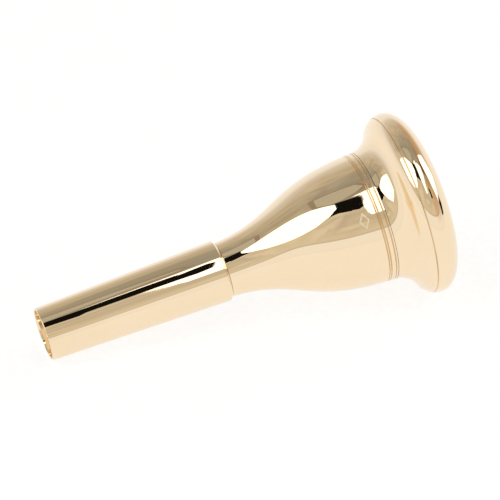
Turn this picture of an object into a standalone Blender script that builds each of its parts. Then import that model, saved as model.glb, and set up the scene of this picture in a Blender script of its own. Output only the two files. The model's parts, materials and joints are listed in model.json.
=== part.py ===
"""A horn-type brass mouthpiece, lying on its side: rim, cup body and shank screwed together, with an O-ring
behind each thread. Run it with: blender --background --python part.py

Every piece is drawn along its own +Z, which is the mouthpiece's axis, from the tip of the shank at z = 0
up to the rim. An empty then lays the whole mouthpiece down so that the shank's tip and the rim both rest
on z = 0.
"""

import math

import bmesh
import bpy
from mathutils import Matrix

MM = 0.001

# Shank: the taper that goes into the instrument
TIP_RADIUS = 4.00 * MM
TIP_BREAK = 0.05 * MM  # chamfer on the tip's outer edge
SHANK_TOP_RADIUS = 4.595 * MM
SHANK_LENGTH = 27.87 * MM
SHANK_CHAMFER = 0.37 * MM

# Cup body: a slim stem that swells into the cup
FOOT_RADIUS = 4.13 * MM
FOOT_SLOPE = 0.055
FOOT_PULL = 10.2 * MM  # how far the stem runs on before it swells
CUP_RADIUS = 9.775 * MM  # outside, where the flare starts
CUP_SLOPE = 0.0265
CUP_PULL = 13.2 * MM  # how far below the flare the swelling has levelled out
CUP_LENGTH = 23.51 * MM  # from the shank's top to the flare
GROOVE_SETBACKS = (0.13 * MM, 0.86 * MM, 1.17 * MM)  # decorative lines, measured back from the flare
GROOVE_WIDTH = 0.14 * MM
GROOVE_DEPTH = 0.05 * MM

# Rim: flare, rolled edge and playing face
RIM_SETBACK = 0.22 * MM  # the rim's joint line lies this far past the start of the flare
FLARE_RADIUS = 3.93 * MM
FLARE_ANGLE = math.radians(63.7)
FLARE_STRAIGHT = 0.30 * MM
ROLL_RADIUS = 2.90 * MM
FACE_HEIGHT = 3.31 * MM  # the face is a quarter ellipse: how far it stands in front of the widest ring
FACE_WIDTH = 5.89 * MM  # and how far it reaches in from it
FACE_END = math.radians(65)
BITE_RADIUS = 1.30 * MM
MOUTH_SLOPE = 0.277  # the cup wall's lean just inside the bite

# Inside: funnel cup, throat and backbore
THROAT_RADIUS = 2.25 * MM
THROAT_SETBACK = 0.93 * MM  # from the shank's top up to the throat
THROAT_LENGTH = 2.00 * MM
TIP_WALL = 0.34 * MM

# Screw joints
PITCH = 0.75 * MM
THREAD_DEPTH = 0.507 * PITCH
THREAD_CREST = 0.16 * PITCH
FLANK_ANGLE = math.radians(30)
THREAD_CLEARANCE = 0.08 * MM
SHANK_SPIGOT_WALL = 0.51 * MM  # metal between the bore and the thread's root, at the spigot's end
SHANK_THREAD_TURNS = 6
RIM_SPIGOT_WALL = 0.45 * MM
RIM_THREAD_TURNS = 5
SEAT_GAP = 0.06 * MM  # between faces that are screwed up against each other
NOSE = 1.40 * PITCH  # plain end of a spigot past its thread
RUNOUT = PITCH / 2  # from a thread's end to the step beside it
LAND_SHOULDER = PITCH / 4  # how far the rim's thread root starts inside its counterbore
SOCKET_GAP = 0.10 * MM  # between a spigot's end and the bottom of its socket
RELIEF_GAP = 0.12 * MM  # the socket's undercut is wider than the thread by this much

# O-rings, one behind each thread
RING_SECTION = 0.50 * MM
RING_CLEARANCE = 0.04 * MM
RING_SIDE_ROOM = 0.12 * MM  # round the outside of a ring in its counterbore
RING_POCKET = RING_SECTION + 0.10 * MM  # depth of the counterbore that the ring sits in
SHANK_LAND_DEPTH = 0.10 * MM  # how far the land under each ring lies below the thread's root
RIM_LAND_DEPTH = 0.35 * MM

TURNED_STEPS = 48
SMALL_THREAD_STEPS = 28
LARGE_THREAD_STEPS = 40
RING_STEPS = 40
RING_SIDES = 8
SINK = 0.04 * MM  # a thread's ridge starts this far inside the metal that it joins
CORNER_POINTS = 10  # points along each small arc of the rim
FLARE_POINTS = 12
BODY_POINTS = 18
SHANK_BORE_POINTS = 8
CUP_BORE_POINTS = 16
MOUTH_POINTS = 6

# Heights along the axis, and the bore
FOOT = SHANK_LENGTH + SEAT_GAP
FLARE_START = SHANK_LENGTH + CUP_LENGTH
RIM_JOINT = FLARE_START + RIM_SETBACK
SHANK_POCKET = SHANK_LENGTH - RING_POCKET
RIM_POCKET = RIM_JOINT + RING_POCKET
SHANK_THREAD_END = SHANK_POCKET - SHANK_THREAD_TURNS * PITCH
RIM_THREAD_END = RIM_POCKET + RIM_THREAD_TURNS * PITCH
SHANK_SPIGOT_END = SHANK_THREAD_END - NOSE
RIM_SPIGOT_END = RIM_THREAD_END + NOSE
THROAT_START = SHANK_LENGTH + THROAT_SETBACK
THROAT_END = THROAT_START + THROAT_LENGTH
TIP_BORE_RADIUS = TIP_RADIUS - TIP_WALL

# The rim's arcs, each tangent to the last
FLARE_TURN = math.atan(CUP_SLOPE)
FLARE_CENTRE_Z = FLARE_START - FLARE_RADIUS * math.sin(FLARE_TURN)
FLARE_CENTRE_R = CUP_RADIUS + FLARE_RADIUS * math.cos(FLARE_TURN)
ROLL_Z = (
    FLARE_CENTRE_Z
    + (FLARE_RADIUS + ROLL_RADIUS) * math.sin(FLARE_ANGLE)
    + FLARE_STRAIGHT * math.cos(FLARE_ANGLE)
)
ROLL_R = (
    FLARE_CENTRE_R
    - (FLARE_RADIUS + ROLL_RADIUS) * math.cos(FLARE_ANGLE)
    + FLARE_STRAIGHT * math.sin(FLARE_ANGLE)
)
RIM_RADIUS = ROLL_R + ROLL_RADIUS
FACE_TURN = math.atan2(FACE_HEIGHT * math.cos(FACE_END), FACE_WIDTH * math.sin(FACE_END))
BITE_Z = ROLL_Z + FACE_HEIGHT * math.sin(FACE_END) - BITE_RADIUS * math.cos(FACE_TURN)
BITE_R = RIM_RADIUS - FACE_WIDTH * (1 - math.cos(FACE_END)) - BITE_RADIUS * math.sin(FACE_TURN)
MOUTH_TURN = math.pi / 2 - math.atan(MOUTH_SLOPE)
MOUTH_Z = BITE_Z + BITE_RADIUS * math.cos(MOUTH_TURN)
MOUTH_R = BITE_R - BITE_RADIUS * math.sin(MOUTH_TURN)
CUP_CURVE = MOUTH_SLOPE * (MOUTH_Z - THROAT_END) / (MOUTH_R - THROAT_RADIUS)


def bore_radius(z):
    """Backbore, throat and funnel cup."""
    if z < THROAT_START:
        return TIP_BORE_RADIUS + (THROAT_RADIUS - TIP_BORE_RADIUS) * z / THROAT_START
    if z < THROAT_END:
        return THROAT_RADIUS
    share = (z - THROAT_END) / (MOUTH_Z - THROAT_END)
    return THROAT_RADIUS + (MOUTH_R - THROAT_RADIUS) * share**CUP_CURVE


SHANK_THREAD_RADIUS = bore_radius(SHANK_SPIGOT_END) + SHANK_SPIGOT_WALL
SHANK_LAND_RADIUS = SHANK_THREAD_RADIUS - SHANK_LAND_DEPTH
RIM_THREAD_RADIUS = bore_radius(RIM_SPIGOT_END) + RIM_SPIGOT_WALL
RIM_LAND_RADIUS = RIM_THREAD_RADIUS - RIM_LAND_DEPTH


def bore(low, high, count):
    """The bore from low up to high, with a point on each of its corners."""
    corners = [z for z in (THROAT_START, THROAT_END) if low < z < high]
    even = [low + (high - low) * i / count for i in range(count + 1)]
    return [(bore_radius(z), z) for z in sorted(set(even + corners))]


def body_radius(z):
    """Outside of the cup body: a cubic curve up to the flare, then the start of the flare's arc."""
    if z > FLARE_START:
        return FLARE_CENTRE_R - math.sqrt(FLARE_RADIUS**2 - (z - FLARE_CENTRE_Z) ** 2)
    heights = (FOOT, FOOT + FOOT_PULL, FLARE_START - CUP_PULL, FLARE_START)
    radii = (
        FOOT_RADIUS,
        FOOT_RADIUS + FOOT_SLOPE * FOOT_PULL,
        CUP_RADIUS - CUP_SLOPE * CUP_PULL,
        CUP_RADIUS,
    )
    low, high = 0.0, 1.0
    for _ in range(40):
        middle = (low + high) / 2
        if cubic(heights, middle) < z:
            low = middle
        else:
            high = middle
    return cubic(radii, low)


def cubic(p, t):
    s = 1 - t
    return s**3 * p[0] + 3 * s * s * t * p[1] + 3 * s * t * t * p[2] + t**3 * p[3]


def relief_radius(root):
    """An undercut that the thread's crest passes freely."""
    return root + THREAD_DEPTH + RELIEF_GAP


def pocket_radius(root, land):
    """A counterbore that takes the ring and lets the thread's crest pass."""
    return max(relief_radius(root), land + RING_SECTION + RING_SIDE_ROOM)


def arc(centre_r, centre_z, radius_r, radius_z, start, end, count):
    """Points on an arc or an ellipse, with its angle measured from +z towards +r."""
    turns = [start + (end - start) * i / count for i in range(count + 1)]
    return [(centre_r + radius_r * math.sin(a), centre_z + radius_z * math.cos(a)) for a in turns]


def shank_outline():
    """From the top of the taper down to the tip, and back up inside past the thread."""
    socket_end = SHANK_SPIGOT_END - SOCKET_GAP
    crest = SHANK_THREAD_RADIUS + THREAD_CLEARANCE
    relief = relief_radius(SHANK_THREAD_RADIUS)
    pocket = pocket_radius(SHANK_THREAD_RADIUS, SHANK_LAND_RADIUS)
    relief_end = SHANK_THREAD_END - RUNOUT
    return [
        (SHANK_TOP_RADIUS - SHANK_CHAMFER, SHANK_LENGTH),
        (SHANK_TOP_RADIUS, SHANK_LENGTH - SHANK_CHAMFER),
        (TIP_RADIUS, TIP_BREAK),
        (TIP_RADIUS - TIP_BREAK, 0),
        *bore(0, socket_end, SHANK_BORE_POINTS),
        (relief, socket_end),
        (relief, relief_end),
        (crest, relief_end),
        (crest, SHANK_POCKET),
        (pocket, SHANK_POCKET),
        (pocket, SHANK_LENGTH),
    ]


def cup_body_outline():
    """From the rim's joint down the outside to the foot and its spigot, then up the bore to the top."""
    top = RIM_JOINT - SEAT_GAP
    outside = [(body_radius(top), top)]
    for setback in GROOVE_SETBACKS:
        z = FLARE_START - setback
        outside += [
            (body_radius(z + GROOVE_WIDTH / 2), z + GROOVE_WIDTH / 2),
            (body_radius(z) - GROOVE_DEPTH, z),
            (body_radius(z - GROOVE_WIDTH / 2), z - GROOVE_WIDTH / 2),
        ]
    start = outside[-1][1]
    for i in range(1, BODY_POINTS + 1):
        z = start + (FOOT - start) * i / BODY_POINTS
        outside.append((body_radius(z), z))
    ring_end = SHANK_POCKET + SEAT_GAP
    return [
        *outside,
        (SHANK_LAND_RADIUS, FOOT),
        (SHANK_LAND_RADIUS, ring_end - RUNOUT),
        (SHANK_THREAD_RADIUS, ring_end - RUNOUT),
        (SHANK_THREAD_RADIUS, SHANK_SPIGOT_END),
        *bore(SHANK_SPIGOT_END, RIM_SPIGOT_END, CUP_BORE_POINTS),
        (RIM_THREAD_RADIUS, RIM_SPIGOT_END),
        (RIM_THREAD_RADIUS, RIM_POCKET + LAND_SHOULDER),
        (RIM_LAND_RADIUS, RIM_POCKET + LAND_SHOULDER),
        (RIM_LAND_RADIUS, top),
    ]


def rim_outline():
    """From the bite over the playing face and the roll down the flare, then up inside past the thread."""
    socket_end = RIM_SPIGOT_END + SOCKET_GAP
    crest = RIM_THREAD_RADIUS + THREAD_CLEARANCE
    relief = relief_radius(RIM_THREAD_RADIUS)
    pocket = pocket_radius(RIM_THREAD_RADIUS, RIM_LAND_RADIUS)
    relief_start = RIM_THREAD_END + RUNOUT
    side = math.pi / 2
    joint_turn = math.asin((RIM_JOINT - FLARE_CENTRE_Z) / FLARE_RADIUS)
    bite = arc(
        BITE_R, BITE_Z, BITE_RADIUS, BITE_RADIUS, -MOUTH_TURN, FACE_TURN, CORNER_POINTS
    )
    face_middle = RIM_RADIUS - FACE_WIDTH
    face = arc(
        face_middle, ROLL_Z, FACE_WIDTH, FACE_HEIGHT, side - FACE_END, side, CORNER_POINTS
    )
    roll = arc(
        ROLL_R, ROLL_Z, ROLL_RADIUS, ROLL_RADIUS, side, side + FLARE_ANGLE, CORNER_POINTS
    )
    flare = arc(
        FLARE_CENTRE_R,
        FLARE_CENTRE_Z,
        -FLARE_RADIUS,
        FLARE_RADIUS,
        side - FLARE_ANGLE,
        side - joint_turn,
        FLARE_POINTS,
    )
    return [
        *bite[:-1],
        *face,
        *roll[1:],
        *flare,
        (pocket, RIM_JOINT),
        (pocket, RIM_POCKET),
        (crest, RIM_POCKET),
        (crest, relief_start),
        (relief, relief_start),
        (relief, socket_end),
        *bore(socket_end, MOUTH_Z, MOUTH_POINTS)[:-1],
    ]


def material(name, colour, roughness, metallic):
    made = bpy.data.materials.new(name)
    made.use_nodes = True
    shader = made.node_tree.nodes["Principled BSDF"]
    shader.inputs["Base Color"].default_value = (*colour, 1)
    shader.inputs["Roughness"].default_value = roughness
    shader.inputs["Metallic"].default_value = metallic
    made.diffuse_color = (*colour, 1)
    return made


def add(name, mesh, collection, parent, finish=None):
    obj = bpy.data.objects.new(name, mesh)
    collection.objects.link(obj)
    obj.parent = parent
    if finish:
        mesh.materials.append(finish)
    return obj


def turned(name, outline, collection, parent, finish):
    """A closed outline in the XZ plane, turned round Z."""
    mesh = bpy.data.meshes.new(name)
    points = [(r, 0, z) for r, z in outline]
    edges = [(i, (i + 1) % len(points)) for i in range(len(points))]
    mesh.from_pydata(points, edges, [])
    obj = add(name, mesh, collection, parent, finish)
    screw = obj.modifiers.new("turn", "SCREW")
    screw.axis = "Z"
    screw.steps = screw.render_steps = TURNED_STEPS
    screw.use_merge_vertices = True
    screw.merge_threshold = 1e-6
    return obj


def thread_ridge(name, root, start, turns, steps, clearance, collection, parent):
    """A right-hand ridge round Z, from start up. With a clearance it is the groove that the ridge runs in."""
    crest = root + THREAD_DEPTH + clearance
    lean = math.tan(FLANK_ANGLE)
    half_crest = THREAD_CREST / 2 + clearance / math.cos(FLANK_ANGLE) - clearance * lean
    base = root + clearance - SINK
    half_base = half_crest + (crest - base) * lean
    section = [(base, -half_base), (crest, -half_crest), (crest, half_crest), (base, half_base)]
    work = bmesh.new()
    ring = [work.verts.new((r, 0, start + z)) for r, z in section]
    edges = [work.edges.new((ring[i], ring[(i + 1) % len(ring)])) for i in range(len(ring))]
    swept = bmesh.ops.spin(
        work,
        geom=ring + edges,
        cent=(0, 0, 0),
        axis=(0, 0, 1),
        dvec=(0, 0, PITCH / steps),
        angle=2 * math.pi * turns,
        steps=round(steps * turns),
    )
    work.faces.new(ring)
    work.faces.new([v for v in swept["geom_last"] if isinstance(v, bmesh.types.BMVert)])
    bmesh.ops.recalc_face_normals(work, faces=work.faces)
    mesh = bpy.data.meshes.new(name)
    work.to_mesh(mesh)
    work.free()
    obj = add(name, mesh, collection, parent)
    obj.hide_render = True
    obj.display_type = "WIRE"
    return obj


def join(obj, other, operation):
    change = obj.modifiers.new(other.name, "BOOLEAN")
    change.operation = operation
    change.solver = "EXACT"
    change.object = other


def smooth(obj):
    """Smooth shading, with the corners left sharp, on the finished mesh."""
    graph = bpy.context.evaluated_depsgraph_get()
    mesh = bpy.data.meshes.new_from_object(obj.evaluated_get(graph))
    mesh.shade_smooth()
    mesh.set_sharp_from_angle(angle=math.radians(30))
    obj.modifiers.clear()
    obj.data = mesh


def o_ring(name, land, z, collection, parent, finish):
    bpy.ops.mesh.primitive_torus_add(
        major_radius=land + RING_CLEARANCE + RING_SECTION / 2,
        minor_radius=RING_SECTION / 2,
        major_segments=RING_STEPS,
        minor_segments=RING_SIDES,
    )
    obj = bpy.context.object
    obj.name = obj.data.name = name
    for home in obj.users_collection:
        home.objects.unlink(obj)
    collection.objects.link(obj)
    obj.parent = parent
    obj.location.z = z
    obj.data.materials.append(finish)
    obj.data.shade_smooth()
    return obj


def lying_down():
    """Lays the axis down with a flat of the tip and a flat of the rim resting on z = 0, centred on x."""
    flat = math.cos(math.pi / TURNED_STEPS)  # a flat's distance from the axis, for a corner at 1
    outline = [(r * flat, z) for r, z in (*shank_outline(), *cup_body_outline(), *rim_outline())]
    tip_r, tip_z = TIP_RADIUS * flat, TIP_BREAK
    lie = max(math.atan2(r - tip_r, z - tip_z) for r, z in outline if z > tip_z)
    back = min(z * math.cos(lie) - r * math.sin(lie) for r, z in outline)
    front = max(z * math.cos(lie) + r * math.sin(lie) for r, z in outline)
    height = tip_r * math.cos(lie) - tip_z * math.sin(lie)
    tilt = Matrix.Rotation(math.pi / 2 - lie, 4, "Y")
    flat_down = Matrix.Rotation(math.pi / TURNED_STEPS, 4, "Z")
    return Matrix.Translation((-(back + front) / 2, 0, height)) @ tilt @ flat_down


def main():
    for obj in list(bpy.data.objects):
        bpy.data.objects.remove(obj)
    pieces = bpy.data.collections.new("brass_mouthpiece")
    cutters = bpy.data.collections.new("cutters")
    bpy.context.scene.collection.children.link(pieces)
    bpy.context.scene.collection.children.link(cutters)

    axis = bpy.data.objects.new("mouthpiece_axis", None)
    pieces.objects.link(axis)
    axis.matrix_world = lying_down()

    plate = (0.80, 0.63, 0.40)
    shank = turned("shank", shank_outline(), pieces, axis, material("shank_gold_plate", plate, 0.12, 1))
    cup = turned("cup_body", cup_body_outline(), pieces, axis, material("cup_gold_plate", plate, 0.10, 1))
    rim = turned("rim", rim_outline(), pieces, axis, material("rim_gold_plate", plate, 0.10, 1))

    sides = (
        (shank, "shank", SHANK_THREAD_RADIUS, SHANK_THREAD_END, SHANK_THREAD_TURNS, SMALL_THREAD_STEPS),
        (rim, "rim", RIM_THREAD_RADIUS, RIM_POCKET, RIM_THREAD_TURNS, LARGE_THREAD_STEPS),
    )
    for socket, name, root, start, turns, steps in sides:
        tooth = THREAD_CREST / 2 + THREAD_DEPTH * math.tan(FLANK_ANGLE)
        ridge_turns = turns - 2 * tooth / PITCH
        low = start + tooth
        ridge = thread_ridge(name + "_thread", root, low, ridge_turns, steps, 0, cutters, axis)
        join(cup, ridge, "UNION")
        # The groove starts a turn early and ends two turns late, so that it runs out at both ends
        groove = thread_ridge(
            name + "_groove", root, low - PITCH, ridge_turns + 3, steps, THREAD_CLEARANCE, cutters, axis
        )
        join(socket, groove, "DIFFERENCE")

    black = (0.02, 0.02, 0.02)
    shank_rubber = material("shank_ring_rubber", black, 0.5, 0)
    rim_rubber = material("rim_ring_rubber", black, 0.5, 0)
    shank_ring_z = FOOT - RING_CLEARANCE - RING_SECTION / 2
    rim_ring_z = RIM_JOINT - SEAT_GAP + RING_CLEARANCE + RING_SECTION / 2
    o_ring("shank_o_ring", SHANK_LAND_RADIUS, shank_ring_z, pieces, axis, shank_rubber)
    o_ring("rim_o_ring", RIM_LAND_RADIUS, rim_ring_z, pieces, axis, rim_rubber)

    for obj in (shank, cup, rim):
        smooth(obj)


main()
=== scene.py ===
"""Brass horn mouthpiece: turned, polished and gold plated, lying on a lit white table.

Lengths are in millimetres along the mouthpiece's own axis, from the shank's tip at 0 up to the rim, and MM
turns them into metres. Every piece is built upright round +Z and then laid down along the CAD's axis.
"""

import json
import math

import bmesh
import bpy
from mathutils import Matrix, Vector


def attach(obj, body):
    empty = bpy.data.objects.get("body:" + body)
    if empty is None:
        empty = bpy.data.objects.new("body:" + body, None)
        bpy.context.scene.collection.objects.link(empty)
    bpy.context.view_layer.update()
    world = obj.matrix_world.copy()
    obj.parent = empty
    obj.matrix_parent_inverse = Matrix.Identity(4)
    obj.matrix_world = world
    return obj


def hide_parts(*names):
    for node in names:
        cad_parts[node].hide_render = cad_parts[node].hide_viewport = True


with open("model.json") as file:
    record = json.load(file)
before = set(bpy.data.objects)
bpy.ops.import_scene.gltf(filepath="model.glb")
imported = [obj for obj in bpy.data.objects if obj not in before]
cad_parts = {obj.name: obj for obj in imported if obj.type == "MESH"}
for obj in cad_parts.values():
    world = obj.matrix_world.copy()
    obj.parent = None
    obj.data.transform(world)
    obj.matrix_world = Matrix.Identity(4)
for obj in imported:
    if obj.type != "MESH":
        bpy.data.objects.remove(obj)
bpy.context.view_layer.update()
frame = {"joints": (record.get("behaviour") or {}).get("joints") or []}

MM = 0.001

# Shank, as the CAD has it
TIP_RADIUS = 4.00
TIP_BREAK = 0.05
SHANK_TOP_RADIUS = 4.595
SHANK_LENGTH = 27.87
SHANK_CHAMFER = 0.37

# Cup body, as the CAD has it
FOOT_RADIUS = 4.13
FOOT_SLOPE = 0.055
FOOT_PULL = 10.2
CUP_RADIUS = 9.775
CUP_SLOPE = 0.0265
CUP_PULL = 13.2
CUP_LENGTH = 23.51
GROOVE_SETBACKS = (0.13, 0.86, 1.17)

# Rim, as the CAD has it
RIM_SETBACK = 0.22
FLARE_RADIUS = 3.93
FLARE_ANGLE = math.radians(63.7)
FLARE_STRAIGHT = 0.30
ROLL_RADIUS = 2.90
FACE_HEIGHT = 3.31
FACE_WIDTH = 5.89
FACE_END = math.radians(65)
BITE_RADIUS = 1.30
MOUTH_SLOPE = 0.277

# Bore, as the CAD has it
TIP_BORE_RADIUS = 3.66
THROAT_RADIUS = 2.25
THROAT_SETBACK = 0.93
THROAT_LENGTH = 2.00

# Screw joints and O-rings, as the CAD has them
PITCH = 0.75
THREAD_DEPTH = 0.507 * PITCH
THREAD_CREST = 0.16 * PITCH
FLANK_ANGLE = math.radians(30)
FLANK_LEAN = math.tan(FLANK_ANGLE)
THREAD_GAP = 0.08
SHANK_SPIGOT_WALL = 0.51
SHANK_THREAD_TURNS = 6
RIM_SPIGOT_WALL = 0.45
RIM_THREAD_TURNS = 5
SEAT_GAP = 0.06
NOSE = 1.40 * PITCH
RUNOUT = PITCH / 2
LAND_SHOULDER = PITCH / 4
SOCKET_GAP = 0.10
RELIEF_GAP = 0.12
RING_SECTION = 0.50
RING_GAP = 0.04
RING_SIDE_ROOM = 0.12
POCKET_DEPTH = RING_SECTION + 0.10
SHANK_LAND_DEPTH = 0.10
RIM_LAND_DEPTH = 0.35

# Detail that the CAD leaves out, or draws narrower
GROOVE_WIDTH = 0.20
GROOVE_DEPTH = 0.09
RIM_LINE = 56.20  # height of the line scribed round the back of the rim's roll
RIM_LINE_DEPTH = 0.05
NOSE_CHAMFER = 0.10  # on the rim's spigot and the shank's
CHAMFER_EASE = 0.05  # how far the buffing wheel has rounded each edge
MOUTH_EASE = 0.03
TIP_EASE = 0.07
THREAD_EASE = 0.03
SINK = 0.04  # a spigot's ridge starts this far inside the metal
SOCKET_SINK = 0.03
FLASH = 0.008  # the mould line on an O-ring
LOZENGE_HEIGHT = 48.2
LOZENGE_PLACE = math.radians(232)
LOZENGE_HALF_ALONG = 0.75
LOZENGE_HALF_ROUND = 1.25
LOZENGE_LINE = 0.36
LOZENGE_PROUD = 0.004  # just clear of the metal, so that the frosted band shows
LOZENGE_SUNK = 0.03

# How finely the meshes are cut
STEPS = 256  # facets round each turned piece, too fine to see in a reflection
CAD_STEPS = 48
TRIM = math.cos(math.pi / CAD_STEPS)  # keeps the round pieces inside the CAD's flats
THREAD_STEPS = 96
RING_POINTS = 36
GROOVE_POINTS = 8
LINE_POINTS = 6
SHARP = math.radians(32)

# Heights along the axis
FOOT = SHANK_LENGTH + SEAT_GAP
FLARE_START = SHANK_LENGTH + CUP_LENGTH
RIM_JOINT = FLARE_START + RIM_SETBACK
CUP_TOP = RIM_JOINT - SEAT_GAP
THROAT_START = SHANK_LENGTH + THROAT_SETBACK
THROAT_END = THROAT_START + THROAT_LENGTH
SHANK_POCKET = SHANK_LENGTH - POCKET_DEPTH
RIM_POCKET = RIM_JOINT + POCKET_DEPTH
SHANK_THREAD_END = SHANK_POCKET - SHANK_THREAD_TURNS * PITCH
RIM_THREAD_END = RIM_POCKET + RIM_THREAD_TURNS * PITCH
SHANK_SPIGOT_END = SHANK_THREAD_END - NOSE
RIM_SPIGOT_END = RIM_THREAD_END + NOSE

# The rim's arcs, each tangent to the last
FLARE_TURN = math.atan(CUP_SLOPE)
FLARE_CENTRE_Z = FLARE_START - FLARE_RADIUS * math.sin(FLARE_TURN)
FLARE_CENTRE_R = CUP_RADIUS + FLARE_RADIUS * math.cos(FLARE_TURN)
ROLL_REACH = FLARE_RADIUS + ROLL_RADIUS
ROLL_Z = FLARE_CENTRE_Z + ROLL_REACH * math.sin(FLARE_ANGLE) + FLARE_STRAIGHT * math.cos(FLARE_ANGLE)
ROLL_R = FLARE_CENTRE_R - ROLL_REACH * math.cos(FLARE_ANGLE) + FLARE_STRAIGHT * math.sin(FLARE_ANGLE)
RIM_RADIUS = ROLL_R + ROLL_RADIUS
FACE_TURN = math.atan2(FACE_HEIGHT * math.cos(FACE_END), FACE_WIDTH * math.sin(FACE_END))
BITE_Z = ROLL_Z + FACE_HEIGHT * math.sin(FACE_END) - BITE_RADIUS * math.cos(FACE_TURN)
BITE_R = RIM_RADIUS - FACE_WIDTH * (1 - math.cos(FACE_END)) - BITE_RADIUS * math.sin(FACE_TURN)
MOUTH_TURN = math.pi / 2 - math.atan(MOUTH_SLOPE)
MOUTH_Z = BITE_Z + BITE_RADIUS * math.cos(MOUTH_TURN)
MOUTH_R = BITE_R - BITE_RADIUS * math.sin(MOUTH_TURN)
CUP_CURVE = MOUTH_SLOPE * (MOUTH_Z - THROAT_END) / (MOUTH_R - THROAT_RADIUS)

# The CAD's axis: the turn of the shank's thread is about the foot of the cup body
turn = next(j for j in frame["joints"] if j["name"] == "shank_thread_turn")
ALONG = Vector(turn["axis"]).normalized()
TIP = Vector(turn["pos_m"]) - ALONG * FOOT * MM
SIDE = Vector((0, 1, 0))
LAID_DOWN = Matrix((SIDE.cross(ALONG), SIDE, ALONG)).transposed().to_4x4()
LAID_DOWN.translation = TIP


# Outlines


def bore_radius(z):
    """Backbore, throat and funnel cup."""
    if z < THROAT_START:
        return TIP_BORE_RADIUS + (THROAT_RADIUS - TIP_BORE_RADIUS) * z / THROAT_START
    if z < THROAT_END:
        return THROAT_RADIUS
    way_up = (z - THROAT_END) / (MOUTH_Z - THROAT_END)
    return THROAT_RADIUS + (MOUTH_R - THROAT_RADIUS) * way_up**CUP_CURVE


SHANK_THREAD_RADIUS = bore_radius(SHANK_SPIGOT_END) + SHANK_SPIGOT_WALL
RIM_THREAD_RADIUS = bore_radius(RIM_SPIGOT_END) + RIM_SPIGOT_WALL
SHANK_LAND_RADIUS = SHANK_THREAD_RADIUS - SHANK_LAND_DEPTH
RIM_LAND_RADIUS = RIM_THREAD_RADIUS - RIM_LAND_DEPTH


def cubic(p, t):
    s = 1 - t
    return s**3 * p[0] + 3 * s * s * t * p[1] + 3 * s * t * t * p[2] + t**3 * p[3]


def body_radius(z):
    """Outside of the cup body: a cubic curve up to the flare, then the start of the flare's arc."""
    if z > FLARE_START:
        return FLARE_CENTRE_R - math.sqrt(FLARE_RADIUS**2 - (z - FLARE_CENTRE_Z) ** 2)
    heights = (FOOT, FOOT + FOOT_PULL, FLARE_START - CUP_PULL, FLARE_START)
    radii = (FOOT_RADIUS, FOOT_RADIUS + FOOT_SLOPE * FOOT_PULL, CUP_RADIUS - CUP_SLOPE * CUP_PULL, CUP_RADIUS)
    low, high = 0.0, 1.0
    for _ in range(40):
        middle = (low + high) / 2
        if cubic(heights, middle) < z:
            low = middle
        else:
            high = middle
    return cubic(radii, low)


def arc(centre_r, centre_z, radius_r, radius_z, start, end, count):
    """Points on an arc or an ellipse, with its angle measured from +z towards +r."""
    turns = [start + (end - start) * i / count for i in range(count + 1)]
    return [(centre_r + radius_r * math.sin(a), centre_z + radius_z * math.cos(a)) for a in turns]


def eased(corners, count=5):
    """Corners (r, z, radius) joined by straight lines, each corner rounded off by its radius."""
    points = []
    for i, (r, z, radius) in enumerate(corners):
        here = Vector((r, z))
        if not radius or i in (0, len(corners) - 1):
            points.append((r, z))
            continue
        to_last = (Vector(corners[i - 1][:2]) - here).normalized()
        to_next = (Vector(corners[i + 1][:2]) - here).normalized()
        reach = radius / math.tan(to_last.angle(to_next) / 2)
        start, end = here + to_last * reach, here + to_next * reach
        for k in range(count + 1):
            t = k / count
            points.append(tuple(start * (1 - t) ** 2 + here * 2 * t * (1 - t) + end * t * t))
    return points


def along(low, high, count, radius_at):
    """Points at even heights from low to high, each as far out as radius_at says."""
    heights = [low + (high - low) * i / count for i in range(count + 1)]
    return [(radius_at(z), z) for z in heights]


def tooth_section(root):
    """The ridge on a spigot: flat crest, 30 degree flanks, its base sunk in the metal."""
    base, crest = root - SINK, root + THREAD_DEPTH
    wide = THREAD_CREST / 2 + (crest - base) * FLANK_LEAN
    return [
        (base, -wide),
        (crest - THREAD_EASE, -THREAD_CREST / 2 - THREAD_EASE * FLANK_LEAN),
        (crest, -THREAD_CREST / 2 + THREAD_EASE),
        (crest, THREAD_CREST / 2 - THREAD_EASE),
        (crest - THREAD_EASE, THREAD_CREST / 2 + THREAD_EASE * FLANK_LEAN),
        (base, wide),
    ]


def socket_tooth_section(root):
    """The ridge inside a socket, which fills the spaces of the spigot's thread but for the running gap."""
    base, crest = root + THREAD_DEPTH + THREAD_GAP + SOCKET_SINK, root + THREAD_GAP
    gap = THREAD_CREST / 2 + THREAD_GAP / math.cos(FLANK_ANGLE) - THREAD_GAP * FLANK_LEAN
    wide = PITCH / 2 - gap
    narrow = wide - THREAD_DEPTH * FLANK_LEAN
    return [(base, -wide), (crest, -narrow), (crest, narrow), (base, wide)]


# Meshes


def piece(name, points, faces, finishes, marks=()):
    """A mesh laid down along the axis. marks gives each face's finish, by number."""
    mesh = bpy.data.meshes.new(name)
    mesh.from_pydata([Vector(p) * MM for p in points], [], faces)
    for finish in finishes:
        mesh.materials.append(finish)
    if marks:
        mesh.polygons.foreach_set("material_index", marks)
    mesh.transform(LAID_DOWN)
    work = bmesh.new()
    work.from_mesh(mesh)
    bmesh.ops.recalc_face_normals(work, faces=work.faces)
    work.to_mesh(mesh)
    work.free()
    mesh.shade_smooth()
    mesh.set_sharp_from_angle(angle=SHARP)
    obj = bpy.data.objects.new(name, mesh)
    bpy.context.scene.collection.objects.link(obj)
    return obj


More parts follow.
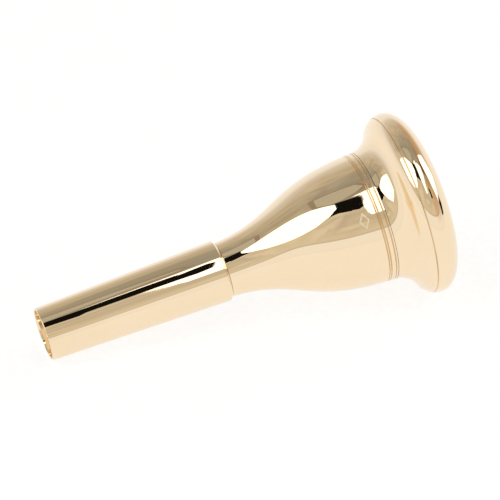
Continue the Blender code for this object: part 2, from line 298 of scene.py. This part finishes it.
def turned(name, outside, inside, finishes, grooves=()):
    """A closed outline turned round the axis: the outside gets the first finish and the inside the second.

    The strips of the outside that start at the points in grooves get the third.
    """
    outline = [*outside, *inside]
    points, faces, marks = [], [], []
    for r, z in outline:
        for k in range(STEPS):
            a = 2 * math.pi * k / STEPS
            points.append((r * TRIM * math.cos(a), r * TRIM * math.sin(a), z))
    for i in range(len(outline)):
        j = (i + 1) % len(outline)
        for k in range(STEPS):
            n = (k + 1) % STEPS
            faces.append((i * STEPS + k, i * STEPS + n, j * STEPS + n, j * STEPS + k))
            marks.append(2 if i in grooves else 0 if i < len(outside) - 1 else 1)
    return piece(name, points, faces, finishes, marks)


def helix(name, section, crossing, low, high, finish):
    """A section (r, z) swept up a right-hand screw thread.

    It rises from a fifth of its height over the first quarter turn and sinks again over the last. crossing is
    the height at which the thread crosses the start of the turn.
    """
    points, faces = [], []
    count, size = round((high - low) / PITCH * THREAD_STEPS), len(section)
    base = section[0][0]
    for i in range(count + 1):
        z = low + (high - low) * i / count
        a = 2 * math.pi * (z - crossing) / PITCH
        rise = min(1, 0.2 + 0.8 * min(i, count - i) / (THREAD_STEPS / 4))
        for r, dz in section:
            r = (base + (r - base) * rise) * TRIM
            points.append((r * math.cos(a), r * math.sin(a), z + dz * (0.4 + 0.6 * rise)))
    for i in range(count):
        for k in range(size):
            n = (k + 1) % size
            faces.append((i * size + k, i * size + n, (i + 1) * size + n, (i + 1) * size + k))
    faces.append(tuple(range(size)))
    faces.append(tuple(count * size + k for k in range(size)))
    return piece(name, points, faces, [finish])


# Finishes


def colour(hex_code):
    """A colour written as on screen, turned into the linear values that light adds up in."""
    parts = [int(hex_code[i : i + 2], 16) / 255 for i in (1, 3, 5)]
    return (*[c / 12.92 if c <= 0.04045 else ((c + 0.055) / 1.055) ** 2.4 for c in parts], 1)


WHITE = colour("#FFFFFF")
BLACK = colour("#000000")


def node(tree, kind, settings=None, **links):
    """Adds a node. settings are its own values, and links its inputs: a value, or another node's output.

    An input goes by its name, or by i and its number. The setting stops is a colour ramp's (place, colour)s.
    """
    made = tree.nodes.new(kind)
    for key, value in (settings or {}).items():
        if key != "stops":
            setattr(made, key, value)
            continue
        elements = made.color_ramp.elements
        while len(elements) < len(value):
            elements.new(0.5)
        for element, (place, shade) in zip(elements, value):
            element.position = place
            element.color = shade
    for key, value in links.items():
        numbered = key[0] == "i" and key[1:].isdigit()
        socket = made.inputs[int(key[1:]) if numbered else key.replace("_", " ")]
        if isinstance(value, bpy.types.NodeSocket):
            tree.links.new(value, socket)
        else:
            socket.default_value = value
    return made


def new_material(name):
    made = bpy.data.materials.new(name)
    made.use_nodes = True
    return made, made.node_tree, made.node_tree.nodes["Principled BSDF"]


def lathe_coordinates(tree):
    """Millimetres, with z up the mouthpiece's axis, so that a pattern stretched in x and y goes round it."""
    where = node(tree, "ShaderNodeTexCoord").outputs["Object"]
    lie = LAID_DOWN.to_3x3().inverted().to_euler("XYZ")
    upright = node(tree, "ShaderNodeMapping", Vector=where, Rotation=tuple(lie)).outputs[0]
    return node(tree, "ShaderNodeVectorMath", {"operation": "SCALE"}, i0=upright, i3=1 / MM).outputs[0]


GOLD = "#F4E0C2"
THIN_GOLD = "#F1DBB8"


def gold_plate(name, roughness, spread, lines, depth, tint=GOLD):
    """Gold flashed over turned brass: a metal mirror, drawn out by fine lines round the work.

    roughness and spread are the middle and the swing of its haze, lines the number of tool or polishing lines
    per millimetre along the axis, and depth their height in millimetres.
    """
    made, tree, shader = new_material(name)
    mm = lathe_coordinates(tree)
    # Buffing leaves a slow, cloudy change in the haze, about 3 mm across
    cloud = node(tree, "ShaderNodeTexNoise", Vector=mm, Scale=0.33, Detail=3.0, Roughness=0.6).outputs[0]
    # Lines round the work, from the mop and the tool before it. Real ones are 0.01 mm apart: these are
    # ten times as coarse, so that they show
    drawn = node(tree, "ShaderNodeMapping", Vector=mm, Scale=(0.10, 0.10, lines)).outputs[0]
    rings = node(tree, "ShaderNodeTexNoise", Vector=drawn, Scale=1.0, Detail=4.0, Roughness=0.65).outputs[0]
    # Handling marks: sparse hairlines about 2.5 mm long, lying across the work and wider than real ones
    lying = {"Rotation": (0.5, 0.9, 0.2), "Scale": (0.25, 2.2, 0.25)}
    scattered = node(tree, "ShaderNodeMapping", Vector=mm, **lying).outputs[0]
    hair = node(tree, "ShaderNodeTexNoise", Vector=scattered, Scale=1.6, Detail=2.0, Roughness=0.5).outputs[0]
    only_hairs = [(0.0, BLACK), (0.64, BLACK), (0.67, WHITE), (0.70, BLACK), (1.0, BLACK)]
    scuff = node(tree, "ShaderNodeValToRGB", {"stops": only_hairs}, Fac=hair).outputs[0]
    swing = {"i1": 0.3, "i2": 0.7, "i3": roughness - spread, "i4": roughness + spread}
    haze = node(tree, "ShaderNodeMapRange", Value=cloud, **swing).outputs[0]
    add = {"operation": "MULTIPLY_ADD"}
    scuffed = node(tree, "ShaderNodeMath", add, i0=scuff, i1=spread * 1.5, i2=haze).outputs[0]
    streaked = node(tree, "ShaderNodeMath", add, i0=rings, i1=spread, i2=scuffed).outputs[0]
    tree.links.new(streaked, shader.inputs["Roughness"])
    # The flash of gold is thinner in places, so over about 8 mm the colour drifts towards the brass under it
    thin = node(tree, "ShaderNodeTexNoise", Vector=mm, Scale=0.12, Detail=2.0).outputs[0]
    mixed = node(tree, "ShaderNodeMix", {"data_type": "RGBA"}, i0=thin, i6=colour(tint), i7=colour(THIN_GOLD))
    tree.links.new(mixed.outputs[2], shader.inputs["Base Color"])
    shader.inputs["Metallic"].default_value = 1.0
    height = node(tree, "ShaderNodeMath", add, i0=scuff, i1=-0.25, i2=rings).outputs[0]
    bump = node(tree, "ShaderNodeBump", Height=height, Strength=1.0, Distance=depth * MM).outputs[0]
    tree.links.new(bump, shader.inputs["Normal"])
    return made


def moulded_rubber(name):
    """Moulded black nitrile: greyish black, with the mould's fine sandy surface and a satin shine."""
    made, tree, shader = new_material(name)
    mm = lathe_coordinates(tree)
    # The mould's grit is 0.07 mm, and the bloom of wax that it leaves about 1 mm
    sand = node(tree, "ShaderNodeTexNoise", Vector=mm, Scale=14.0, Detail=3.0).outputs[0]
    bloom = node(tree, "ShaderNodeTexNoise", Vector=mm, Scale=1.1, Detail=2.0).outputs[0]
    greyer = [(0.35, colour("#141414")), (0.75, colour("#232221"))]
    tone = node(tree, "ShaderNodeValToRGB", {"stops": greyer}, Fac=bloom).outputs[0]
    tree.links.new(tone, shader.inputs["Base Color"])
    dull = node(tree, "ShaderNodeMapRange", Value=bloom, i3=0.42, i4=0.62).outputs[0]
    tree.links.new(dull, shader.inputs["Roughness"])
    bump = node(tree, "ShaderNodeBump", Height=sand, Strength=1.0, Distance=0.004 * MM).outputs[0]
    tree.links.new(bump, shader.inputs["Normal"])
    return made


TABLE_GLOW = 3.30


def opal_acrylic(name):
    """Cast opal acrylic, the top of a light table: lit evenly from below, with a slight grain of 1 mm."""
    made, tree, shader = new_material(name)
    where = node(tree, "ShaderNodeTexCoord").outputs["Object"]
    grain = node(tree, "ShaderNodeTexNoise", Vector=where, Scale=900.0, Detail=2.0).outputs[0]
    milky = [(0.3, colour("#888888")), (0.7, colour("#8A8A8A"))]
    tone = node(tree, "ShaderNodeValToRGB", {"stops": milky}, Fac=grain).outputs[0]
    tree.links.new(tone, shader.inputs["Base Color"])
    tree.links.new(tone, shader.inputs["Emission Color"])
    shader.inputs["Emission Strength"].default_value = TABLE_GLOW
    shader.inputs["Roughness"].default_value = 0.8
    shader.inputs["Specular IOR Level"].default_value = 0.0
    return made


def black_felt(name):
    """Pressed black felt, which gives back next to no light: a nap of about 2.5 mm."""
    made, tree, shader = new_material(name)
    where = node(tree, "ShaderNodeTexCoord").outputs["Object"]
    nap = node(tree, "ShaderNodeTexNoise", Vector=where, Scale=400.0, Detail=3.0).outputs[0]
    sooty = [(0.3, colour("#0D0D0D")), (0.7, colour("#191919"))]
    tone = node(tree, "ShaderNodeValToRGB", {"stops": sooty}, Fac=nap).outputs[0]
    tree.links.new(tone, shader.inputs["Base Color"])
    shader.inputs["Roughness"].default_value = 0.95
    shader.inputs["Specular IOR Level"].default_value = 0.0
    return made


def lit_cloth(name, radiance, tint="#FFFFFF"):
    """Woven diffuser cloth lit from behind, brighter and dimmer over about 25 mm, coarser than its threads.

    radiance 1 is white in a mirror.
    """
    made, tree, shader = new_material(name)
    where = node(tree, "ShaderNodeTexCoord").outputs["Object"]
    weave = node(tree, "ShaderNodeTexNoise", Vector=where, Scale=40.0, Detail=2.0).outputs[0]
    uneven = {"i1": 0.3, "i2": 0.7, "i3": 0.94 * radiance, "i4": radiance}
    glow = node(tree, "ShaderNodeMapRange", Value=weave, **uneven).outputs[0]
    tree.links.new(glow, shader.inputs["Emission Strength"])
    shader.inputs["Emission Color"].default_value = colour(tint)
    shader.inputs["Base Color"].default_value = colour("#595959")
    shader.inputs["Roughness"].default_value = 0.9
    return made


# Buffed on a mop: a clean mirror
polished = gold_plate("polished_gold_plated_brass", 0.020, 0.010, 9.0, 0.0003)
# Cut by a reamer, then plated: a soft, streaked shine
bored = gold_plate("reamed_gold_plated_bore", 0.16, 0.05, 6.0, 0.0030, "#F0D8B0")
# Cut on a lathe and never buffed
cut = gold_plate("cut_thread_gold_plate", 0.20, 0.05, 8.0, 0.0030, "#EFD6AC")
# Painted shade: the bottom of each scribed line is coloured brown, standing in for the darker reflections
# that a narrow groove shows
painted_groove_shade = gold_plate("painted_shade_in_scribed_lines", 0.24, 0.06, 6.0, 0.0010, "#B88A55")
# Frosted by the laser: paler than the mirror round it
etched = gold_plate("laser_etched_gold", 0.45, 0.06, 5.0, 0.0050, "#FFF6E4")
rubber = moulded_rubber("moulded_black_nitrile")


# The mouthpiece


def make_shank():
    """The tapered tube: its outside down to the tip, then the backbore and the socket, back up to its top."""
    groove = SHANK_THREAD_RADIUS + THREAD_DEPTH + THREAD_GAP
    relief = SHANK_THREAD_RADIUS + THREAD_DEPTH + RELIEF_GAP
    pocket = max(relief, SHANK_LAND_RADIUS + RING_SECTION + RING_SIDE_ROOM)
    socket_end = SHANK_SPIGOT_END - SOCKET_GAP
    edge = SHANK_LENGTH - SHANK_CHAMFER
    taper = (SHANK_TOP_RADIUS - TIP_RADIUS) / (edge - TIP_BREAK)
    buffed_inside = 1.0  # how far the mop reaches into the tip
    outside = eased(
        [
            (pocket, SHANK_LENGTH, 0),
            (SHANK_TOP_RADIUS - SHANK_CHAMFER, SHANK_LENGTH, MOUTH_EASE),
            (SHANK_TOP_RADIUS, edge, CHAMFER_EASE),
            *[(SHANK_TOP_RADIUS - taper * down, edge - down, 0) for down in (7, 14, 21)],
            (TIP_RADIUS, 0, TIP_EASE),
            (TIP_BORE_RADIUS, 0, TIP_EASE),
            (bore_radius(buffed_inside), buffed_inside, 0),
        ]
    )
    inside = [
        *along(buffed_inside + 0.2, socket_end, 24, bore_radius),
        (relief, socket_end),
        (relief, SHANK_THREAD_END - RUNOUT),
        (groove, SHANK_THREAD_END - RUNOUT),
        (groove, SHANK_POCKET),
        (pocket, SHANK_POCKET),
    ]
    return turned("polished_shank", outside, inside, [polished, bored])


def make_cup_body():
    """The stem and cup: down the outside over three scribed grooves to the foot, then up through the bore."""
    outside = [(RIM_LAND_RADIUS, CUP_TOP), (body_radius(CUP_TOP), CUP_TOP)]
    groove_strips = []
    last = CUP_TOP
    for setback in GROOVE_SETBACKS:
        z = FLARE_START - setback
        half = GROOVE_WIDTH / 2
        outside += along(last - 0.02, z + half, 3, body_radius)
        groove_strips += range(len(outside), len(outside) + GROOVE_POINTS - 2)
        for k in range(1, GROOVE_POINTS):
            across = 2 * k / GROOVE_POINTS - 1
            here = z - across * half
            outside.append((body_radius(here) - GROOVE_DEPTH * (1 - across**2), here))
        last = z - half
    above_foot = FOOT + 0.05
    outside += along(last, above_foot, 110, body_radius)
    foot = [(*outside[-1], 0), (FOOT_RADIUS, FOOT, MOUTH_EASE), (SHANK_LAND_RADIUS, FOOT, 0)]
    outside += eased(foot, 3)[1:]
    shank_step = SHANK_POCKET + SEAT_GAP - RUNOUT
    inside = [
        (SHANK_LAND_RADIUS, shank_step),
        (SHANK_THREAD_RADIUS, shank_step),
        (SHANK_THREAD_RADIUS, SHANK_SPIGOT_END + NOSE_CHAMFER),
        (SHANK_THREAD_RADIUS - NOSE_CHAMFER, SHANK_SPIGOT_END),
        *along(SHANK_SPIGOT_END, THROAT_START, 12, bore_radius),
        *along(THROAT_START, THROAT_END, 4, bore_radius)[1:],
        *along(THROAT_END, RIM_SPIGOT_END, 60, bore_radius)[1:],
        (RIM_THREAD_RADIUS - NOSE_CHAMFER, RIM_SPIGOT_END),
        (RIM_THREAD_RADIUS, RIM_SPIGOT_END - NOSE_CHAMFER),
        (RIM_THREAD_RADIUS, RIM_POCKET + LAND_SHOULDER),
        (RIM_LAND_RADIUS, RIM_POCKET + LAND_SHOULDER),
    ]
    return turned("polished_cup_body", outside, inside, [polished, bored, painted_groove_shade], groove_strips)


def make_rim():
    """The rim: bite, face, roll with its scribed line, and flare, then the socket and the cup's wall."""
    side = math.pi / 2
    line_turn = math.acos((RIM_LINE - ROLL_Z) / ROLL_RADIUS)
    line_reach = GROOVE_WIDTH / 2 / ROLL_RADIUS
    roll = (ROLL_R, ROLL_Z, ROLL_RADIUS, ROLL_RADIUS)
    outside = arc(BITE_R, BITE_Z, BITE_RADIUS, BITE_RADIUS, -MOUTH_TURN, FACE_TURN, 24)[:-1]
    outside += arc(RIM_RADIUS - FACE_WIDTH, ROLL_Z, FACE_WIDTH, FACE_HEIGHT, side - FACE_END, side, 32)
    outside += arc(*roll, side, line_turn - line_reach, 24)[1:]
    line_strips = range(len(outside) - 1, len(outside) + LINE_POINTS - 1)
    for k in range(1, LINE_POINTS):
        across = 2 * k / LINE_POINTS - 1
        a = line_turn + across * line_reach
        radius = ROLL_RADIUS - RIM_LINE_DEPTH * (1 - across**2)
        outside.append((ROLL_R + radius * math.sin(a), ROLL_Z + radius * math.cos(a)))
    outside += arc(*roll, line_turn + line_reach, side + FLARE_ANGLE, 16)
    joint_turn = math.asin((RIM_JOINT - FLARE_CENTRE_Z) / FLARE_RADIUS)
    flare = (FLARE_CENTRE_R, FLARE_CENTRE_Z, -FLARE_RADIUS, FLARE_RADIUS)
    outside += arc(*flare, side - FLARE_ANGLE, side - joint_turn, 40)
    groove = RIM_THREAD_RADIUS + THREAD_DEPTH + THREAD_GAP
    relief = RIM_THREAD_RADIUS + THREAD_DEPTH + RELIEF_GAP
    pocket = max(relief, RIM_LAND_RADIUS + RING_SECTION + RING_SIDE_ROOM)
    socket_end = RIM_SPIGOT_END + SOCKET_GAP
    outside.append((pocket, RIM_JOINT))
    inside = [
        (pocket, RIM_POCKET),
        (groove, RIM_POCKET),
        (groove, RIM_THREAD_END + RUNOUT),
        (relief, RIM_THREAD_END + RUNOUT),
        (relief, socket_end),
        *along(socket_end, MOUTH_Z, 20, bore_radius)[:-1],
    ]
    return turned("polished_rim", outside, inside, [polished, cut, painted_groove_shade], line_strips)


def make_threads(joint, root, low, turns, foot, head):
    """Both sides of one screw joint, from the height that the CAD gives the thread, so that the two mesh.

    The spigot's ridge runs up its turns from low. The socket's lies half a pitch from it, from foot to head.
    """
    half = THREAD_CREST / 2 + THREAD_DEPTH * FLANK_LEAN
    start, end = low + half, low + turns * PITCH - half
    spigot = helix(f"cup_thread_in_{joint}", tooth_section(root), start, start, end, cut)
    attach(spigot, "cup_body")
    section = socket_tooth_section(root)
    half = section[-1][1]
    socket = helix(f"{joint}_socket_thread", section, start + PITCH / 2, foot + half, head - half, cut)
    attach(socket, joint)
    return [spigot, socket]


def make_o_ring(name, land, z, body):
    """An O-ring, with the faint flash line that its mould leaves round the outside and the inside."""
    outline = []
    for k in range(RING_POINTS):
        a = 2 * math.pi * k / RING_POINTS
        r = RING_SECTION / 2 - (0 if k in (0, RING_POINTS // 2) else FLASH)
        outline.append((land + RING_GAP + RING_SECTION / 2 + r * math.cos(a), z + r * math.sin(a)))
    ring = turned(name, outline, [], [rubber])
    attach(ring, body)
    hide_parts(body)


def make_lozenge():
    """An etched lozenge outline on the cup body."""
    points, faces, rings = [], [], []
    tips = [(LOZENGE_HALF_ALONG, 0), (0, LOZENGE_HALF_ROUND)]
    corners = [Vector(tip) * way for way in (1, -1) for tip in tips]
    per_side = 8
    for scale in (1.0, 1.0 - LOZENGE_LINE / LOZENGE_HALF_ROUND):
        for height in (LOZENGE_PROUD, -LOZENGE_SUNK):
            ring = []
            for k in range(4 * per_side):
                a, b = corners[k // per_side], corners[(k // per_side + 1) % 4]
                along_it, round_it = (a + (b - a) * (k % per_side) / per_side) * scale
                z = LOZENGE_HEIGHT + along_it
                r = body_radius(z) * TRIM + height
                place = LOZENGE_PLACE + round_it / body_radius(LOZENGE_HEIGHT)
                ring.append(len(points))
                points.append((r * math.cos(place), r * math.sin(place), z))
            rings.append(ring)
    outer_up, outer_down, inner_up, inner_down = rings
    loop = (outer_up, inner_up, inner_down, outer_down, outer_up)
    for first, second in zip(loop, loop[1:]):
        for k in range(len(first)):
            n = (k + 1) % len(first)
            faces.append((first[k], first[n], second[n], second[k]))
    return piece("etched_lozenge", points, faces, [etched])


shank, cup_body, rim = make_shank(), make_cup_body(), make_rim()
threads = make_threads(
    "shank",
    SHANK_THREAD_RADIUS,
    SHANK_THREAD_END,
    SHANK_THREAD_TURNS,
    SHANK_THREAD_END - RUNOUT,
    SHANK_POCKET,
)
threads += make_threads(
    "rim",
    RIM_THREAD_RADIUS,
    RIM_POCKET,
    RIM_THREAD_TURNS,
    RIM_POCKET,
    RIM_THREAD_END + RUNOUT,
)
ring_middle = RING_GAP + RING_SECTION / 2
make_o_ring("nitrile_shank_ring", SHANK_LAND_RADIUS, FOOT - ring_middle, "shank_o_ring")
make_o_ring("nitrile_rim_ring", RIM_LAND_RADIUS, CUP_TOP + ring_middle, "rim_o_ring")
for made, body in ((shank, "shank"), (cup_body, "cup_body"), (rim, "rim")):
    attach(made, body)
    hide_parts(body)
lozenge = make_lozenge()
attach(lozenge, "cup_body")


# Camera

CAMERA_ACROSS = math.radians(-19.77)
CAMERA_ABOVE = math.radians(36.0)
CAMERA_DISTANCE = 626
LENS = 309.6
AIM_ALONG = 32.68  # the camera looks at a point this far up the axis,
AIM_RIGHT = -0.475  # and a little beside it
AIM_UP = 1.322

back = Vector(
    (
        math.sin(CAMERA_ACROSS) * math.cos(CAMERA_ABOVE),
        -math.cos(CAMERA_ACROSS) * math.cos(CAMERA_ABOVE),
        math.sin(CAMERA_ABOVE),
    )
)
right = Vector((math.cos(CAMERA_ACROSS), math.sin(CAMERA_ACROSS), 0))
up = back.cross(right)
camera = bpy.data.objects.new("camera", bpy.data.cameras.new("camera"))
bpy.context.scene.collection.objects.link(camera)
camera.matrix_world = Matrix((right, up, back)).transposed().to_4x4()
camera.location = TIP + (ALONG * AIM_ALONG + right * AIM_RIGHT + up * AIM_UP + back * CAMERA_DISTANCE) * MM
camera.data.lens = LENS
camera.data.clip_start = 0.05
camera.data.clip_end = 20
bpy.context.scene.camera = camera


# Studio, in metres

CUP_MIDDLE = Vector((0.018, 0, 0.013))
TABLE_HALF = 4
TABLE_DROP = 0.0002  # keeps the table's top clear of the two flats that the mouthpiece rests on


def staged(name, corners, finish):
    """A flat sheet that belongs to the studio."""
    mesh = bpy.data.meshes.new(name)
    mesh.from_pydata(corners, [], [tuple(range(len(corners)))])
    mesh.materials.append(finish)
    obj = bpy.data.objects.new(name, mesh)
    bpy.context.scene.collection.objects.link(obj)


def panel(name, distance, finish, corners):
    """A straight-sided board or softbox, its corners given as seen from the cup: (azimuth, elevation)."""
    places = []
    for azimuth, elevation in corners:
        a, e = math.radians(azimuth), math.radians(elevation)
        toward = Vector((math.sin(a) * math.cos(e), -math.cos(a) * math.cos(e), math.sin(e)))
        places.append(CUP_MIDDLE + toward * distance)
    staged(name, places, finish)


quarters = ((-1, -1), (1, -1), (1, 1), (-1, 1))
table_corners = [(x * TABLE_HALF, y * TABLE_HALF, -TABLE_DROP) for x, y in quarters]
staged("light_table", table_corners, opal_acrylic("opal_light_table"))

bright = lit_cloth("softbox_diffuser_cloth", 1.9)
felt = black_felt("black_felt")
grey_cloth = lit_cloth("grey_reflector_cloth", 1.0, "#AFACA0")
brown_cloth = lit_cloth("brown_reflector_frame", 1.0, "#867661")

left_above = [(-106, 46), (-98, 58), (-84, 66), (-54, 71)]
left_below = [(-46, 58), (-50, 42), (-58, 28), (-84, 22), (-108, 26)]
panel("left_softbox", 0.50, bright, left_above + left_below)
# Two black flags, one behind the other: from the cup they look like one, and from the shank like a wider one
near_flag = [(-15, 57), (-12, 60), (-26, 75.5), (-40, 78), (-47, 66), (-38, 58)]
panel("near_flag", 0.18, felt, near_flag)
far_flag = [(-46, 54), (-51, 65), (-74, 70.5), (-58, 75.5), (-40, 78), (-27, 73), (-22, 57.5), (-38, 58)]
panel("far_flag", 0.36, felt, far_flag)
overhead_left = [(-55, 78.5), (-42, 80), (-28, 78), (-18, 72), (10, 78), (-20, 87)]
panel("overhead_softbox_left", 0.60, bright, overhead_left)
overhead_near = [(-18, 72), (-14, 63), (-9, 55), (-6, 48), (-3, 43), (3, 43)]
overhead_far = [(14, 56), (40, 62), (62, 68), (40, 82), (10, 78)]
panel("overhead_softbox_right", 0.60, bright, overhead_near + overhead_far)
right_softbox = [(74, 12), (72, 30), (78, 46), (90, 55), (106, 50), (112, 26), (104, 10)]
panel("right_softbox", 0.50, bright, right_softbox)
reflector = [(-158, 75), (-130, 57), (-100, 62), (-80, 69), (-72, 75), (-88, 83), (-150, 83)]
panel("grey_reflector", 1.20, grey_cloth, reflector)
reflector_frame = [(-165, 75), (-131, 52.5), (-99, 59), (-78, 66.5), (-66, 75), (-84, 85), (-156, 85)]
panel("reflector_frame", 1.24, brown_cloth, reflector_frame)
panel("stand_knob", 0.45, felt, [(23, 36), (26, 46), (35, 48), (41, 42), (38, 34)])
panel("stand_foot", 0.45, felt, [(66, 5), (72, 13), (84, 14), (88, 4), (78, 1)])
panel("stand_arm", 0.45, felt, [(62, 50), (60, 58), (88, 64), (90, 58)])

# A white sweep rises to about 14 degrees on the near side. Above it are pale warm walls and a greyer ceiling
NEAR_SIDE = [
    (0.0, WHITE),
    (0.235, WHITE),
    (0.262, colour("#CBC7BC")),
    (0.30, colour("#E2DAC8")),
    (0.84, colour("#DAD3C4")),
    (1.0, colour("#B3AEA4")),
]
FAR_SIDE = [
    (0.0, WHITE),
    (0.10, colour("#F7F9FF")),
    (0.30, colour("#DDD8D1")),
    (0.62, colour("#CBC2B1")),
    (0.90, colour("#ADAAA0")),
]
PAST_THE_RIM = "#F9E2CE"


def paint_room(sky):
    """The room round the table, painted on the world by height and by side."""
    way = node(sky, "ShaderNodeTexCoord").outputs["Generated"]
    split = node(sky, "ShaderNodeSeparateXYZ", Vector=way)
    height = split.outputs["Z"]
    soft = {"interpolation_type": "SMOOTHSTEP"}
    mix = {"data_type": "RGBA"}
    near = node(sky, "ShaderNodeValToRGB", {"stops": NEAR_SIDE}, Fac=height).outputs[0]
    far = node(sky, "ShaderNodeValToRGB", {"stops": FAR_SIDE}, Fac=height).outputs[0]
    dot = {"operation": "DOT_PRODUCT"}
    facing = node(sky, "ShaderNodeVectorMath", dot, i0=way, i1=(-0.5, -0.866, 0)).outputs["Value"]
    share = node(sky, "ShaderNodeMapRange", soft, Value=facing, i1=-0.1, i2=0.45).outputs[0]
    both = node(sky, "ShaderNodeMix", mix, i0=share, i6=far, i7=near).outputs[2]
    # The wall past the rim is a warmer brown, above the sweep
    past_rim = node(sky, "ShaderNodeMapRange", soft, Value=split.outputs["X"], i1=0.15, i2=0.55).outputs[0]
    higher = node(sky, "ShaderNodeMapRange", soft, Value=height, i1=0.05, i2=0.30).outputs[0]
    brown = node(sky, "ShaderNodeMath", {"operation": "MULTIPLY"}, i0=past_rim, i1=higher).outputs[0]
    stained = {**mix, "blend_type": "MULTIPLY"}
    walls = node(sky, "ShaderNodeMix", stained, i0=brown, i6=both, i7=colour(PAST_THE_RIM)).outputs[2]
    # The walls are hung with cloth, whose soft folds give the long reflections their streaks
    fold = node(sky, "ShaderNodeTexNoise", Vector=way, Scale=2.6, Detail=2.0, Distortion=1.2).outputs[0]
    hung = node(sky, "ShaderNodeMapRange", Value=fold, i1=0.35, i2=0.65, i3=-0.16, i4=0.10).outputs[0]
    above = node(sky, "ShaderNodeMapRange", soft, Value=height, i1=0.24, i2=0.5).outputs[0]
    add = {"operation": "MULTIPLY_ADD"}
    strength = node(sky, "ShaderNodeMath", add, i0=hung, i1=above, i2=1.0).outputs[0]
    sky.links.new(walls, sky.nodes["Background"].inputs["Color"])
    sky.links.new(strength, sky.nodes["Background"].inputs["Strength"])


world = bpy.data.worlds.new("studio")
bpy.context.scene.world = world
world.use_nodes = True
paint_room(world.node_tree)
bpy.context.scene.view_settings.view_transform = "Standard"
